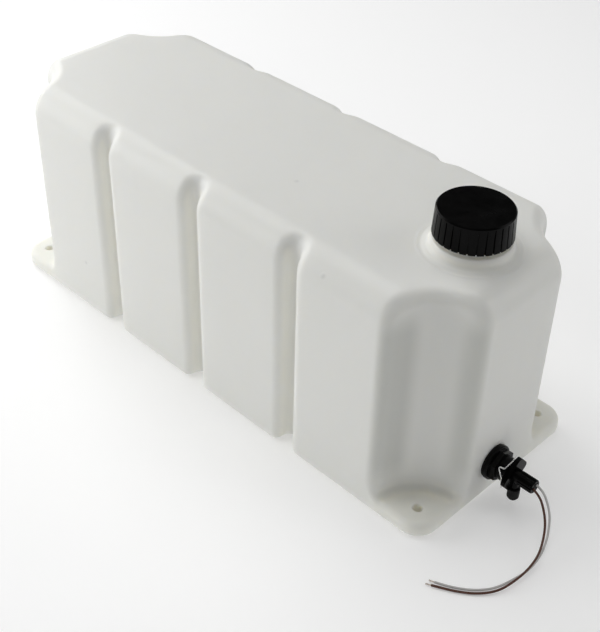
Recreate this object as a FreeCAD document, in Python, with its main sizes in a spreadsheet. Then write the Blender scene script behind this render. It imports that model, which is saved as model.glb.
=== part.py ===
import FreeCAD, Part
import math
import os
import re

import Sketcher
from FreeCAD import Placement, Rotation, Vector

# Fluid tank of about 19 litres: a moulded shell with a screw cap and a float-type level sensor.
#
# The origin is on the floor at the centre of the tank's footprint. +X points along the tank to the end that
# carries the filler neck and the sensor fitting, +Z is up. Sizes are in millimetres.

DIMENSIONS = {
    # moulded tank
    "tank_length": 546,
    "tank_width": 203,
    "tank_height": 216,
    "wall": 4,
    "base_corner_radius": 20,
    "top_edge_radius": 24.5,
    "bottom_edge_radius": 5,
    "channel_radius": 50.5,
    "channel_mouth_radius": 12,
    "groove_spacing": 117,
    "groove_depth": 13.5,
    "groove_bottom_radius": 6,
    "groove_edge_radius": 10,
    "foot_reach": 62,
    "foot_height": 15,
    "foot_edge_radius": 6,
    "foot_hole_radius": 4,
    "foot_hole_inset": 20,
    # filler neck, heights above the tank's top
    "neck_place": 215.4,
    "neck_bore": 23.5,
    "neck_radius": 27.2,
    "neck_height": 31.5,
    "neck_flare_radius": 40,
    "neck_flare_bend": 13,
    "neck_flare_end_radius": 29.5,
    "neck_flare_end": 5.5,
    "neck_ring_radius": 31,
    "neck_ring_start": 6,
    "neck_ring_end": 8,
    "neck_ring_slope": 1,
    "neck_rim_edge": 1,
    "weld_overlap": 0.3,
    "thread_pitch": 5,
    "thread_depth": 1.1,
    "thread_root_half": 1.1,
    "thread_crest_half": 0.6,
    "neck_thread_start": 16.5,
    "neck_thread_turns": 2.2,
    # screw cap
    "cap_rim": 12.4,
    "cap_height": 22.9,
    "cap_rim_radius": 31.9,
    "cap_top_radius": 30.7,
    "cap_bore": 28.8,
    "cap_roof": 2.3,
    "cap_edge": 1,
    "cap_thread_reach": 1.2,
    "cap_thread_start": 14,
    "cap_thread_turns": 1.8,
    "rib_count": 30,
    "rib_gap": 1.2,
    "rib_root_radius": 30.2,
    "rib_cut_radius": 32.9,
    "vent_radius": 0.8,
    "vent_offset": 10.5,
    "membrane_radius": 3,
    "membrane_thickness": 0.5,
    "liner_inner": 20,
    "liner_outer": 28.4,
    # sensor fitting, lengths along its axis from the tank's end wall, positive outwards
    "fitting_across": -12.5,
    "fitting_up": 36,
    "wall_hole": 9.9,
    "gasket_inner": 10,
    "gasket_outer": 15.4,
    "gasket_thickness": 1.5,
    "flange_radius": 16,
    "flange_thickness": 4,
    "flange_edge": 1,
    "body_hexagon": 14.4,
    "body_hexagon_end": 11,
    "collar_radius": 10.9,
    "collar_end": 19,
    "tail_radius": 9.6,
    "tail_end": 15,
    "body_bore": 6.8,
    "socket_bore": 8.4,
    "socket_depth": 9.5,
    "washer_outer": 14.5,
    "washer_thickness": 1.5,
    "nut_hexagon": 15.2,
    "nut_thickness": 6.5,
    "nut_bore": 9.66,
    # sensor plug
    "pilot_radius": 6.4,
    "pilot_end": 11,
    "nose_radius": 8.1,
    "nose_start": 10,
    "plate_start": 19.5,
    "plate_thickness": 4,
    "plate_half_length": 14,
    "plate_half_width": 8.5,
    "plate_corner": 4.5,
    "plate_turn": 40,
    "plate_seat": 1,
    "boss_radius": 6.2,
    "boss_end": 28.5,
    "plug_tail_radius": 4,
    "plug_tail_end": 35,
    "plug_bore": 2.4,
    "ring_groove_root": 5,
    "ring_groove_width": 2.2,
    "ring_centre": 5.9,
    "ring_section": 0.85,
    "ring_place": 1.5,
    "ring_spacing": 4,
    # blanked spigot under the plug, heights above the floor
    "spigot_place": 24.5,
    "spigot_radius": 3.4,
    "spigot_bore": 2,
    "spigot_bottom": 15,
    "stopper_bottom": 9.5,
    "stopper_top": 22,
    "stopper_radius": 5.2,
    "stopper_bore": 3.5,
    "stopper_floor": 5,
    "stopper_tip_radius": 3.6,
    "stopper_tip": 0.6,
    "stopper_shoulder": 3,
    # ribbed barrel with its wire seal
    "barrel_end": 43,
    "barrel_radius": 6.3,
    "barrel_bore": 4.05,
    "barrel_rib_count": 14,
    "barrel_rib_gap": 1.1,
    "barrel_rib_depth": 0.7,
    "barrel_cut_radius": 7.3,
    "barrel_rib_start": 29.5,
    "barrel_nose": 1,
    "barrel_nose_radius": 5.7,
    "seal_bore_depth": 2,
    "seal_start": 35.5,
    # stem, reed switch and float inside the tank
    "stem_radius": 5.2,
    "stem_end": 27,
    "stem_bore": 1.7,
    "stem_bore_end": 25,
    "tongue_overlap": 2,
    "tongue_half": 2,
    "tongue_radius": 4.5,
    "pivot_place": 30.5,
    "pivot_hole": 1.25,
    "pin_radius": 1.2,
    "pin_half": 5.1,
    "reed_radius": 1.35,
    "reed_inner": 24,
    "reed_outer": 12,
    "reed_end_radius": 0.85,
    "reed_end_length": 0.8,
    "reed_wire_radius": 0.35,
    "reed_wire_offset": 0.8,
    "float_radius": 8.5,
    "float_start": 6,
    "float_length": 26,
    "float_edge": 2,
    "float_droop": 40,
    "ear_gap": 2.3,
    "ear_thickness": 2.5,
    "ear_radius": 3,
    "ear_hole": 1.3,
    "ear_overlap": 1,
    "magnet_radius": 2.5,
    "magnet_pocket": 2.6,
    "magnet_start": 7,
    "magnet_length": 6,
    "magnet_slack": 0.5,
    # retaining clip and leads
    "clip_wire": 0.55,
    "clip_bend": 1.2,
    "lead_radius": 1,
    "tip_radius": 0.6,
    "tip_length": 4.5,
}

# the clip's wire: along the fitting's axis from the end wall, across, up from the axis
CLIP_ROUTE = [
    (15.8, 9.2, 9.2),
    (19.1, -0.3, 12.4),
    (17.8, -9.1, 8.9),
    (12.4, -10.0, 9.0),
    (16.0, -11.8, 4.8),
    (18.4, -12.2, 1.0),
    (17.8, -11.5, -4.5),
    (17.2, -8.4, -9.4),
    (16.0, -6.5, -16.0),
]

# the leads' routes over the floor, from the wire seal to the bare tips
BROWN_ROUTE = [
    (316.0, -14.7, 35.5),
    (323.0, -15.6, 33.6),
    (329.6, -18.0, 27.5),
    (337.0, -23.4, 20.0),
    (342.4, -31.0, 12.5),
    (348.8, -45.4, 8.0),
    (351.0, -63.0, 6.0),
    (349.2, -80.2, 4.0),
    (345.3, -93.8, 2.0),
    (335.3, -106.4, 1.05),
    (323.4, -115.4, 1.05),
    (313.1, -121.1, 1.05),
    (305.3, -125.0, 1.05),
]
GREY_ROUTE = [
    (316.0, -10.6, 37.2),
    (322.0, -10.4, 35.4),
    (328.9, -12.5, 30.0),
    (336.0, -16.3, 22.0),
    (340.2, -21.5, 14.0),
    (344.3, -28.7, 7.5),
    (348.2, -41.5, 2.5),
    (349.6, -59.3, 1.05),
    (346.1, -76.9, 1.05),
    (342.1, -91.4, 1.05),
    (333.2, -103.7, 1.05),
    (321.6, -112.7, 1.05),
    (311.6, -118.1, 1.05),
    (305.2, -120.8, 1.05),
]

CORD_BEND_SHARE = 0.45
FLAT = 1e-6

doc = FreeCAD.newDocument("FluidTank")
dims = doc.addObject("Spreadsheet::Sheet", "dims")
for row, (alias, size) in enumerate(DIMENSIONS.items(), start=1):
    dims.set(f"A{row}", alias)
    dims.set(f"B{row}", str(size))
    dims.setAlias(f"B{row}", alias)
doc.recompute()

sub_parts = []


def bound(text):
    """The expression text with each dimension's name pointing at its cell."""
    def cell(word):
        return f"dims.{word[0]}" if word[0] in DIMENSIONS else word[0]

    return re.sub(r"[a-z_]+", cell, str(text))


def size(text):
    """The number that an expression over the dimensions stands for."""
    return float(dims.evalExpression(bound(text)))


def bind(item, **expressions):
    for name, text in expressions.items():
        item.setExpression(name, bound(text))


def place(item, x="0", y="0", z="0", rotation=None):
    if rotation:
        item.Placement.Rotation = rotation
    for axis, text in (("x", x), ("y", y), ("z", z)):
        item.setExpression(f"Placement.Base.{axis}", bound(text))


def finish(item, label):
    """Name a finished sub-part: its label is also the name of its file."""
    item.Label = label
    sub_parts.append(item)
    return item


# ---- sketches and PartDesign features ----

def new_body(name):
    return doc.addObject("PartDesign::Body", name)


def new_sketch(body, name, plane):
    sketch = body.newObject("Sketcher::SketchObject", name)
    support = next(item for item in body.Origin.OriginFeatures if item.Role == plane)
    sketch.AttachmentSupport = [(support, "")]
    sketch.MapMode = "FlatFace"
    return sketch


def fix_point(sketch, element, position, across, up):
    """Tie one point of a sketch element to the sketch's origin by two expressions."""
    for kind, text in (("DistanceX", across), ("DistanceY", up)):
        index = sketch.addConstraint(Sketcher.Constraint(kind, -1, 1, element, position, size(text)))
        sketch.setExpression(f"Constraints[{index}]", bound(text))


def fix_radius(sketch, element, radius):
    index = sketch.addConstraint(Sketcher.Constraint("Radius", element, size(radius)))
    sketch.setExpression(f"Constraints[{index}]", bound(radius))


def arc_between(start, end, radius):
    """The shorter arc from start to end; start and end swap places when the radius is negative."""
    if radius < 0:
        start, end = end, start
    chord = end - start
    left = Vector(-chord.y, chord.x, 0).normalize()
    centre = (start + end) * 0.5 + left * math.sqrt(radius ** 2 - chord.Length ** 2 / 4)
    angles = [math.atan2(spot.y - centre.y, spot.x - centre.x) for spot in (start, end)]
    return Part.ArcOfCircle(Part.Circle(centre, Vector(0, 0, 1), abs(radius)), *angles)


def draw_profile(sketch, corners):
    """Draw a closed profile through corners given as (across, up) or (across, up, radius, turn).

    A corner with a radius starts an arc to the next corner, turning left (1) or right (-1).
    """
    spots = [Vector(size(corner[0]), size(corner[1]), 0) for corner in corners]
    elements = []
    for place_in_row, corner in enumerate(corners):
        start = spots[place_in_row]
        end = spots[(place_in_row + 1) % len(spots)]
        if len(corner) == 2:
            elements.append((sketch.addGeometry(Part.LineSegment(start, end), False), 1, 2))
            continue
        arc = arc_between(start, end, size(corner[2]) * corner[3])
        element = sketch.addGeometry(arc, False)
        elements.append((element, 1, 2) if corner[3] > 0 else (element, 2, 1))
    for place_in_row, (element, first, last) in enumerate(elements):
        following, its_first, _ = elements[(place_in_row + 1) % len(elements)]
        sketch.addConstraint(Sketcher.Constraint("Coincident", element, last, following, its_first))
        fix_point(sketch, element, first, *corners[place_in_row][:2])
        if len(corners[place_in_row]) > 2:
            fix_radius(sketch, element, corners[place_in_row][2])


def draw_circle(sketch, across, up, radius):
    circle = Part.Circle(Vector(size(across), size(up), 0), Vector(0, 0, 1), size(radius))
    element = sketch.addGeometry(circle, False)
    fix_point(sketch, element, 3, across, up)
    fix_radius(sketch, element, radius)


def pad(body, name, sketch, length, start="0"):
    feature = body.newObject("PartDesign::Pad", name)
    feature.Profile = sketch
    bind(feature, Length=length)
    sketch.setExpression("AttachmentOffset.Base.z", bound(start))
    return feature


def pocket_up(body, name, sketch, length, start="0"):
    """Cut the sketch's profile upwards from its start height."""
    feature = body.newObject("PartDesign::Pocket", name)
    feature.Profile = sketch
    feature.Reversed = True
    bind(feature, Length=length)
    sketch.setExpression("AttachmentOffset.Base.z", bound(start))
    return feature


def round_edges(body, name, base, radius, wanted):
    """Round the edges of the base feature for which wanted(edge) is true."""
    doc.recompute()
    chosen = [f"Edge{number}" for number, edge in enumerate(base.Shape.Edges, start=1) if wanted(edge)]
    feature = body.newObject("PartDesign::Fillet", name)
    feature.Base = (base, chosen)
    bind(feature, Radius=radius)
    return feature


def turned(name, corners):
    """A body turned about its own Z axis from a profile of (radius, height) corners."""
    body = new_body(name)
    sketch = new_sketch(body, f"{name}_profile", "XZ_Plane")
    draw_profile(sketch, corners)
    feature = body.newObject("PartDesign::Revolution", f"{name}_turn")
    feature.Profile = sketch
    feature.ReferenceAxis = (sketch, ["V_Axis"])
    feature.Angle = 360
    return body


def ring(name, inner, outer, bottom, top):
    return turned(name, [(inner, bottom), (outer, bottom), (outer, top), (inner, top)])


def repeat_round(body, name, feature, count):
    pattern = body.newObject("PartDesign::PolarPattern", name)
    pattern.Originals = [feature]
    pattern.Axis = (feature.Profile[0], ["N_Axis"])
    pattern.Angle = 360
    bind(pattern, Occurrences=count)
    body.Tip = pattern
    return pattern


# ---- Part primitives and booleans ----

def cylinder(name, radius, length, **spot):
    item = doc.addObject("Part::Cylinder", name)
    bind(item, Radius=radius, Height=length)
    place(item, **spot)
    return item


def box(name, length, width, height, **spot):
    item = doc.addObject("Part::Box", name)
    bind(item, Length=length, Width=width, Height=height)
    place(item, **spot)
    return item


def hexagon(name, circumradius, height, **spot):
    item = doc.addObject("Part::Prism", name)
    item.Polygon = 6
    bind(item, Circumradius=circumradius, Height=height)
    place(item, **spot)
    return item


def joined(name, *items, refine=True):
    item = doc.addObject("Part::MultiFuse", name)
    item.Shapes = list(items)
    item.Refine = refine
    return item


def cut(name, base, tool):
    item = doc.addObject("Part::Cut", name)
    item.Base = base
    item.Tool = tool
    return item


def shared(name, first, second):
    item = doc.addObject("Part::MultiCommon", name)
    item.Shapes = [first, second]
    return item


OUTWARDS = Rotation(Vector(0, 1, 0), 90)


def on_fitting(item):
    """Put an item made along +Z on the sensor fitting's axis, with its zero at the end wall's face."""
    place(item, "tank_length / 2", "fitting_across", "fitting_up", OUTWARDS)
    return item


# ---- tank ----

def channel_corners(side_x, side_y, inset):
    """The plan of one corner channel, from the long side to the short side."""
    reach = "sqrt((channel_radius + channel_mouth_radius) ^ 2 - channel_mouth_radius ^ 2)"
    share = f"(channel_radius + {inset}) / (channel_radius + channel_mouth_radius)"
    mouth = f"channel_mouth_radius - {inset}"
    hollow = f"channel_radius + {inset}"
    spots = [
        (reach, inset),
        (f"{share} * {reach}", f"{share} * channel_mouth_radius"),
        (f"{share} * channel_mouth_radius", f"{share} * {reach}"),
        (inset, reach),
    ]
    plan = [(f"{side_x} * (tank_length / 2 - {x})", f"{side_y} * (tank_width / 2 - {y})") for x, y in spots]
    if side_x * side_y > 0:
        plan.reverse()
    arcs = [(mouth, 1), (hollow, -1), (mouth, 1)]
    return [corner + arc for corner, arc in zip(plan, arcs)] + plan[3:]


def groove_corners(centre, side_y, inset):
    """The plan of one side groove, in the order of a walk round the tank with the tank on the left."""
    middle_depth = "(groove_depth - groove_bottom_radius)"
    gap = "(groove_edge_radius + groove_bottom_radius)"
    reach = f"sqrt({gap} ^ 2 - (groove_edge_radius - {middle_depth}) ^ 2)"
    share = f"(groove_bottom_radius + {inset}) / {gap}"
    contact_depth = f"{middle_depth} + (groove_edge_radius - {middle_depth}) * {share}"
    spots = [(-1, reach, inset), (-1, f"{share} * {reach}", contact_depth),
             (1, f"{share} * {reach}", contact_depth), (1, reach, inset)]
    plan = [(f"{centre} - {side_y * way} * ({x})", f"{side_y} * (tank_width / 2 - ({y}))")
            for way, x, y in spots]
    edge = f"groove_edge_radius - {inset}"
    bottom = f"groove_bottom_radius + {inset}"
    arcs = [(edge, 1), (bottom, -1), (edge, 1)]
    return [corner + arc for corner, arc in zip(plan, arcs)] + plan[3:]


def rounded_block(name, inset):
    """The tank's plain box, moved inwards by inset, with its top and bottom edges rounded."""
    half_length = f"(tank_length / 2 - {inset})"
    half_width = f"(tank_width / 2 - {inset})"
    radius = f"(base_corner_radius - {inset})"
    body = new_body(name)
    sketch = new_sketch(body, f"{name}_plan", "XY_Plane")
    draw_profile(sketch, [
        (f"-{half_length} + {radius}", f"-{half_width}"),
        (f"{half_length} - {radius}", f"-{half_width}", radius, 1),
        (half_length, f"-{half_width} + {radius}"),
        (half_length, f"{half_width} - {radius}", radius, 1),
        (f"{half_length} - {radius}", half_width),
        (f"-{half_length} + {radius}", half_width, radius, 1),
        (f"-{half_length}", f"{half_width} - {radius}"),
        (f"-{half_length}", f"-{half_width} + {radius}", radius, 1),
    ])
    solid = pad(body, f"{name}_pad", sketch, f"tank_height - 2 * {inset}", inset)
    top = size(f"tank_height - {inset}")
    bottom = size(inset)
    solid = round_edges(body, f"{name}_top", solid, f"top_edge_radius - {inset}",
                        lambda edge: edge.BoundBox.ZMin > top - FLAT)
    round_edges(body, f"{name}_bottom", solid, f"bottom_edge_radius - {inset}",
                lambda edge: edge.BoundBox.ZMax < bottom + FLAT)
    return body


def grooved_column(name, inset):
    """The plan with channels and grooves, moved inwards by inset and drawn up to the tank's height."""
    grooves = [f"{step} * groove_spacing" for step in (-1, 0, 1)]
    corners = []
    for centre in grooves:
        corners += groove_corners(centre, -1, inset)
    corners += channel_corners(1, -1, inset)
    corners += channel_corners(1, 1, inset)
    for centre in reversed(grooves):
        corners += groove_corners(centre, 1, inset)
    corners += channel_corners(-1, 1, inset)
    corners += channel_corners(-1, -1, inset)
    body = new_body(name)
    sketch = new_sketch(body, f"{name}_plan", "XY_Plane")
    draw_profile(sketch, corners)
    pad(body, f"{name}_pad", sketch, f"tank_height - 2 * {inset}", inset)
    return body


def tank_feet():
    """The four foot flanges that fill the channels' lower ends, each with its bolt hole."""
    body = new_body("tank_feet")
    plan = new_sketch(body, "feet_plan", "XY_Plane")
    holes = new_sketch(body, "feet_holes", "XY_Plane")
    for side_x, side_y in ((1, 1), (-1, 1), (-1, -1), (1, -1)):
        spots = [
            ("foot_reach", "0"),
            ("foot_reach", "foot_reach"),
            ("0", "foot_reach"),
            ("0", "base_corner_radius"),
            ("base_corner_radius", "0"),
        ]
        corners = [(f"{side_x} * (tank_length / 2 - {x})", f"{side_y} * (tank_width / 2 - {y})")
                   for x, y in spots]
        corners[3] += ("base_corner_radius", side_x * side_y)
        draw_profile(plan, corners)
        draw_circle(holes, f"{side_x} * (tank_length / 2 - foot_hole_inset)",
                    f"{side_y} * (tank_width / 2 - foot_hole_inset)", "foot_hole_radius")
    feet = pad(body, "feet_pad", plan, "foot_height")

    inner = (size("tank_length / 2 - foot_reach"), size("tank_width / 2 - foot_reach"))

    def rim(height):
        def wanted(edge):
            box_of_edge = edge.BoundBox
            on_inner_x = abs(abs(edge.CenterOfMass.x) - inner[0]) < FLAT
            on_inner_y = abs(abs(edge.CenterOfMass.y) - inner[1]) < FLAT
            level = abs(box_of_edge.ZMin - height) < FLAT and abs(box_of_edge.ZMax - height) < FLAT
            return level and not on_inner_x and not on_inner_y
        return wanted

    feet = round_edges(body, "feet_top", feet, "foot_edge_radius", rim(size("foot_height")))
    feet = round_edges(body, "feet_bottom", feet, "bottom_edge_radius", rim(0))
    pocket_up(body, "feet_bores", holes, "foot_height")
    return body


def thread_ridge(name, root, crest, start, turns):
    """One helical thread ridge about the body's Z axis, from root radius to crest radius."""
    body = new_body(name)
    sketch = new_sketch(body, f"{name}_section", "XZ_Plane")
    corners = [
        (root, f"{start} - thread_root_half"),
        (crest, f"{start} - thread_crest_half"),
        (crest, f"{start} + thread_crest_half"),
        (root, f"{start} + thread_root_half"),
    ]
    if size(crest) < size(root):
        corners.reverse()
    draw_profile(sketch, corners)
    feature = body.newObject("PartDesign::AdditiveHelix", f"{name}_helix")
    feature.Profile = sketch
    feature.ReferenceAxis = (sketch, ["V_Axis"])
    feature.Mode = "pitch-turns-angle"
    bind(feature, Pitch="thread_pitch", Turns=turns)
    return body


def on_neck(item):
    place(item, "neck_place", "0", "tank_height")
    return item


def tank_shell():
    outer = shared("tank_outer", rounded_block("outer_block", "0"), grooved_column("outer_column", "0"))
    inner = shared("tank_cavity", rounded_block("inner_block", "wall"),
                   grooved_column("inner_column", "wall"))
    neck = on_neck(turned("neck", [
        ("neck_bore", "-wall"),
        ("neck_flare_radius - wall / 2", "-wall"),
        ("neck_flare_radius", "-wall / 2", "neck_flare_bend", -1),
        ("neck_flare_end_radius", "neck_flare_end"),
        ("neck_ring_radius", "neck_ring_start"),
        ("neck_ring_radius", "neck_ring_end"),
        ("neck_radius", "neck_ring_end + neck_ring_slope"),
        ("neck_radius", "neck_height - neck_rim_edge"),
        ("neck_radius - neck_rim_edge", "neck_height"),
        ("neck_bore", "neck_height"),
    ]))
    thread = on_neck(thread_ridge("neck_thread", "neck_radius - weld_overlap", "neck_radius + thread_depth",
                                  "neck_thread_start", "neck_thread_turns"))
    solid = joined("tank_solid", outer, tank_feet(), neck, thread)
    bore = cylinder("neck_opening", "neck_bore", "neck_height + 3 * wall",
                    x="neck_place", z="tank_height - 2 * wall")
    hole = cylinder("fitting_hole", "wall_hole", "4 * wall", x="tank_length / 2 - 2 * wall",
                    y="fitting_across", z="fitting_up", rotation=OUTWARDS)
    void = joined("tank_void", inner, bore, hole)
    finish(cut("tank_shell", solid, void), "tank_shell")


# ---- cap ----

def filler_cap():
    body = turned("cap_body", [
        ("cap_bore", "cap_rim"),
        ("cap_rim_radius", "cap_rim"),
        ("cap_top_radius", "cap_rim + cap_height - cap_edge"),
        ("cap_top_radius - cap_edge", "cap_rim + cap_height"),
        ("0", "cap_rim + cap_height"),
        ("0", "cap_rim + cap_height - cap_roof"),
        ("cap_bore", "cap_rim + cap_height - cap_roof"),
    ])
    gap = new_sketch(body, "rib_gap_plan", "XY_Plane")
    draw_profile(gap, [
        ("rib_root_radius", "-rib_gap / 2"),
        ("rib_cut_radius", "-rib_gap / 2"),
        ("rib_cut_radius", "rib_gap / 2"),
        ("rib_root_radius", "rib_gap / 2"),
    ])
    notch = pocket_up(body, "rib_gap_cut", gap, "cap_rim + cap_height - 2 * cap_edge")
    repeat_round(body, "rib_gaps", notch, "rib_count")
    vent = new_sketch(body, "vent_plan", "XY_Plane")
    draw_circle(vent, "0", "-vent_offset", "vent_radius")
    pocket_up(body, "vent_hole", vent, "2 * neck_height")
    ridge = thread_ridge("cap_thread", "cap_bore + weld_overlap", "cap_bore - cap_thread_reach",
                         "cap_thread_start", "cap_thread_turns")
    cap = joined("filler_cap", body, ridge, refine=False)
    finish(on_neck(cap), "filler_cap")

    liner = on_neck(ring("cap_liner", "liner_inner", "liner_outer", "neck_height",
                         "cap_rim + cap_height - cap_roof"))
    finish(liner, "cap_liner")
    membrane = cylinder("vent_membrane", "membrane_radius", "membrane_thickness",
                        x="neck_place", y="-vent_offset",
                        z="tank_height + cap_rim + cap_height - cap_roof - membrane_thickness")
    finish(membrane, "vent_membrane")


# ---- bulkhead fitting ----

def bulkhead():
    gasket = ring("flange_gasket", "gasket_inner", "gasket_outer", "0", "gasket_thickness")
    finish(on_fitting(gasket), "flange_gasket")

    shape = turned("bulkhead_turned", [
        ("body_bore", "-tail_end"),
        ("tail_radius", "-tail_end"),
        ("tail_radius", "gasket_thickness"),
        ("flange_radius", "gasket_thickness"),
        ("flange_radius", "gasket_thickness + flange_thickness - flange_edge", "flange_edge", 1),
        ("flange_radius - flange_edge", "gasket_thickness + flange_thickness"),
        ("collar_radius", "gasket_thickness + flange_thickness"),
        ("collar_radius", "collar_end"),
        ("socket_bore", "collar_end"),
        ("socket_bore", "socket_depth"),
        ("body_bore", "socket_depth"),
    ])
    head = "gasket_thickness + flange_thickness"
    nut_shape = hexagon("bulkhead_hexagon", "body_hexagon", f"body_hexagon_end - ({head})", z=head)
    core = cylinder("hexagon_core", "collar_radius - weld_overlap", "2 * collar_end", z="-collar_end / 2")
    flats = cut("bulkhead_flats", nut_shape, core)
    finish(on_fitting(joined("bulkhead_body", shape, flats)), "bulkhead_body")

    washer = ring("inner_washer", "gasket_inner", "washer_outer", "-wall - washer_thickness", "-wall")
    finish(on_fitting(washer), "inner_washer")

    nut_start = "-wall - washer_thickness - nut_thickness"
    nut = cut("bulkhead_nut", hexagon("nut_blank", "nut_hexagon", "nut_thickness", z=nut_start),
              cylinder("nut_hole", "nut_bore", "4 * nut_thickness", z=f"{nut_start} - nut_thickness"))
    finish(on_fitting(nut), "bulkhead_nut")


# ---- sensor plug ----

def plug_plate():
    """The winged plate at the plug's head."""
    body = new_body("plug_plate")
    sketch = new_sketch(body, "plate_plan", "XY_Plane")
    long_flat = "(plate_half_length - plate_corner)"
    wide_flat = "(plate_half_width - plate_corner)"
    draw_profile(sketch, [
        (f"-{long_flat}", "-plate_half_width"),
        (long_flat, "-plate_half_width", "plate_corner", 1),
        ("plate_half_length", f"-{wide_flat}"),
        ("plate_half_length", wide_flat, "plate_corner", 1),
        (long_flat, "plate_half_width"),
        (f"-{long_flat}", "plate_half_width", "plate_corner", 1),
        ("-plate_half_length", wide_flat),
        ("-plate_half_length", f"-{wide_flat}", "plate_corner", 1),
    ])
    pad(body, "plate_pad", sketch, "plate_thickness")
    # before the plate is laid on the fitting's axis, up is its own -X and across is its own +Y
    place(body, z="plate_start", rotation=Rotation(Vector(0, 0, 1), 90 + size("plate_turn")))
    return body


def sensor_plug():
    def ring_groove(number):
        centre = f"(ring_place + {number} * ring_spacing)"
        return [
            ("pilot_radius", f"{centre} - ring_groove_width / 2"),
            ("ring_groove_root", f"{centre} - ring_groove_width / 2"),
            ("ring_groove_root", f"{centre} + ring_groove_width / 2"),
            ("pilot_radius", f"{centre} + ring_groove_width / 2"),
        ]

    core = turned("plug_core", [
        ("plug_bore", "-pilot_end"),
        ("pilot_radius", "-pilot_end"),
        *ring_groove(0),
        *ring_groove(1),
        ("pilot_radius", "nose_start"),
        ("nose_radius", "nose_start"),
        ("nose_radius", "plate_start + plate_seat"),
        ("boss_radius", "plate_start + plate_seat"),
        ("boss_radius", "boss_end"),
        ("plug_tail_radius", "boss_end"),
        ("plug_tail_radius", "plug_tail_end"),
        ("plug_bore", "plug_tail_end"),
    ])
    plate_bore = cylinder("plate_bore", "plug_bore + plate_seat", "2 * plate_start")
    plate = cut("plate_bored", plug_plate(), plate_bore)
    head = on_fitting(joined("plug_head", core, plate))
    spigot = ring("spigot", "spigot_bore", "spigot_radius", "spigot_bottom",
                  "fitting_up - plug_bore - plate_seat")
    place(spigot, "tank_length / 2 + spigot_place", "fitting_across")
    passage = cylinder("spigot_passage", "spigot_bore", "fitting_up - spigot_bottom",
                       x="tank_length / 2 + spigot_place", y="fitting_across", z="spigot_bottom")
    finish(cut("sensor_plug", joined("plug_solid", head, spigot), passage), "sensor_plug")

    rings = []
    for number in range(2):
        item = doc.addObject("Part::Torus", f"plug_ring_{number + 1}")
        bind(item, Radius1="ring_centre", Radius2="ring_section")
        place(item, z=f"ring_place + {number} * ring_spacing")
        rings.append(item)
    finish(on_fitting(joined("plug_o_rings", *rings)), "plug_o_rings")

    stopper = turned("spigot_cap", [
        ("0", "stopper_bottom"),
        ("stopper_tip_radius", "stopper_bottom + stopper_tip"),
        ("stopper_radius", "stopper_bottom + stopper_shoulder"),
        ("stopper_radius", "stopper_top"),
        ("stopper_bore", "stopper_top"),
        ("stopper_bore", "stopper_bottom + stopper_floor"),
        ("0", "stopper_bottom + stopper_floor"),
    ])
    place(stopper, "tank_length / 2 + spigot_place", "fitting_across")
    finish(stopper, "spigot_cap")


def cable_barrel():
    body = turned("cable_barrel", [
        ("barrel_bore", "boss_end"),
        ("barrel_radius", "boss_end"),
        ("barrel_radius", "barrel_end - barrel_nose"),
        ("barrel_nose_radius", "barrel_end"),
        ("barrel_bore", "barrel_end"),
    ])
    gap = new_sketch(body, "barrel_gap_plan", "XY_Plane")
    draw_profile(gap, [
        ("barrel_radius - barrel_rib_depth", "-barrel_rib_gap / 2"),
        ("barrel_cut_radius", "-barrel_rib_gap / 2"),
        ("barrel_cut_radius", "barrel_rib_gap / 2"),
        ("barrel_radius - barrel_rib_depth", "barrel_rib_gap / 2"),
    ])
    notch = pocket_up(body, "barrel_gap_cut", gap, "barrel_end", start="barrel_rib_start")
    repeat_round(body, "barrel_gaps", notch, "barrel_rib_count")
    finish(on_fitting(body), "cable_barrel")

    seal = cylinder("seal_blank", "plug_tail_radius", "barrel_end - seal_start", z="seal_start")
    bores = []
    for colour, route in (("brown", BROWN_ROUTE), ("grey", GREY_ROUTE)):
        _, across, up = route[0]
        bore = cylinder(f"seal_bore_{colour}", "lead_radius", "barrel_end", x=f"fitting_up - {up}",
                        y=f"{across} - fitting_across", z="seal_start + seal_bore_depth")
        bores.append(bore)
    finish(on_fitting(cut("wire_seal", seal, joined("seal_bores", *bores))), "wire_seal")


# ---- stem, switch and float ----

def stem_and_switch():
    rod = cylinder("stem_rod", "stem_radius", "stem_end - pilot_end", z="-stem_end")
    tongue_root = box("tongue_root", "2 * tongue_radius", "2 * tongue_half",
                      "pivot_place - stem_end + tongue_overlap",
                      x="-tongue_radius", y="-tongue_half", z="-pivot_place")
    tongue_tip = cylinder("tongue_tip", "tongue_radius", "2 * tongue_half", y="tongue_half",
                          z="-pivot_place", rotation=Rotation(Vector(1, 0, 0), 90))
    bore = cylinder("stem_hole", "stem_bore", "stem_bore_end", z="-stem_bore_end")
    pivot = cylinder("pivot_bore", "pivot_hole", "4 * tongue_half", y="2 * tongue_half",
                     z="-pivot_place", rotation=Rotation(Vector(1, 0, 0), 90))
    stem = cut("sensor_stem", joined("stem_solid", rod, tongue_root, tongue_tip),
               joined("stem_bores", bore, pivot))
    finish(on_fitting(stem), "sensor_stem")

    switch = turned("reed_switch", [
        ("0", "-reed_inner"),
        ("reed_end_radius", "-reed_inner"),
        ("reed_radius", "reed_end_length - reed_inner"),
        ("reed_radius", "-reed_outer - reed_end_length"),
        ("reed_end_radius", "-reed_outer"),
        ("0", "-reed_outer"),
    ])
    finish(on_fitting(switch), "reed_switch")

    wires = []
    for number, side in enumerate((-1, 1), start=1):
        wires.append(cylinder(f"reed_wire_{number}", "reed_wire_radius", "reed_outer + seal_start",
                              y=f"{side} * reed_wire_offset", z="-reed_outer"))
    finish(on_fitting(joined("reed_leads", *wires)), "reed_leads")


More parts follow.
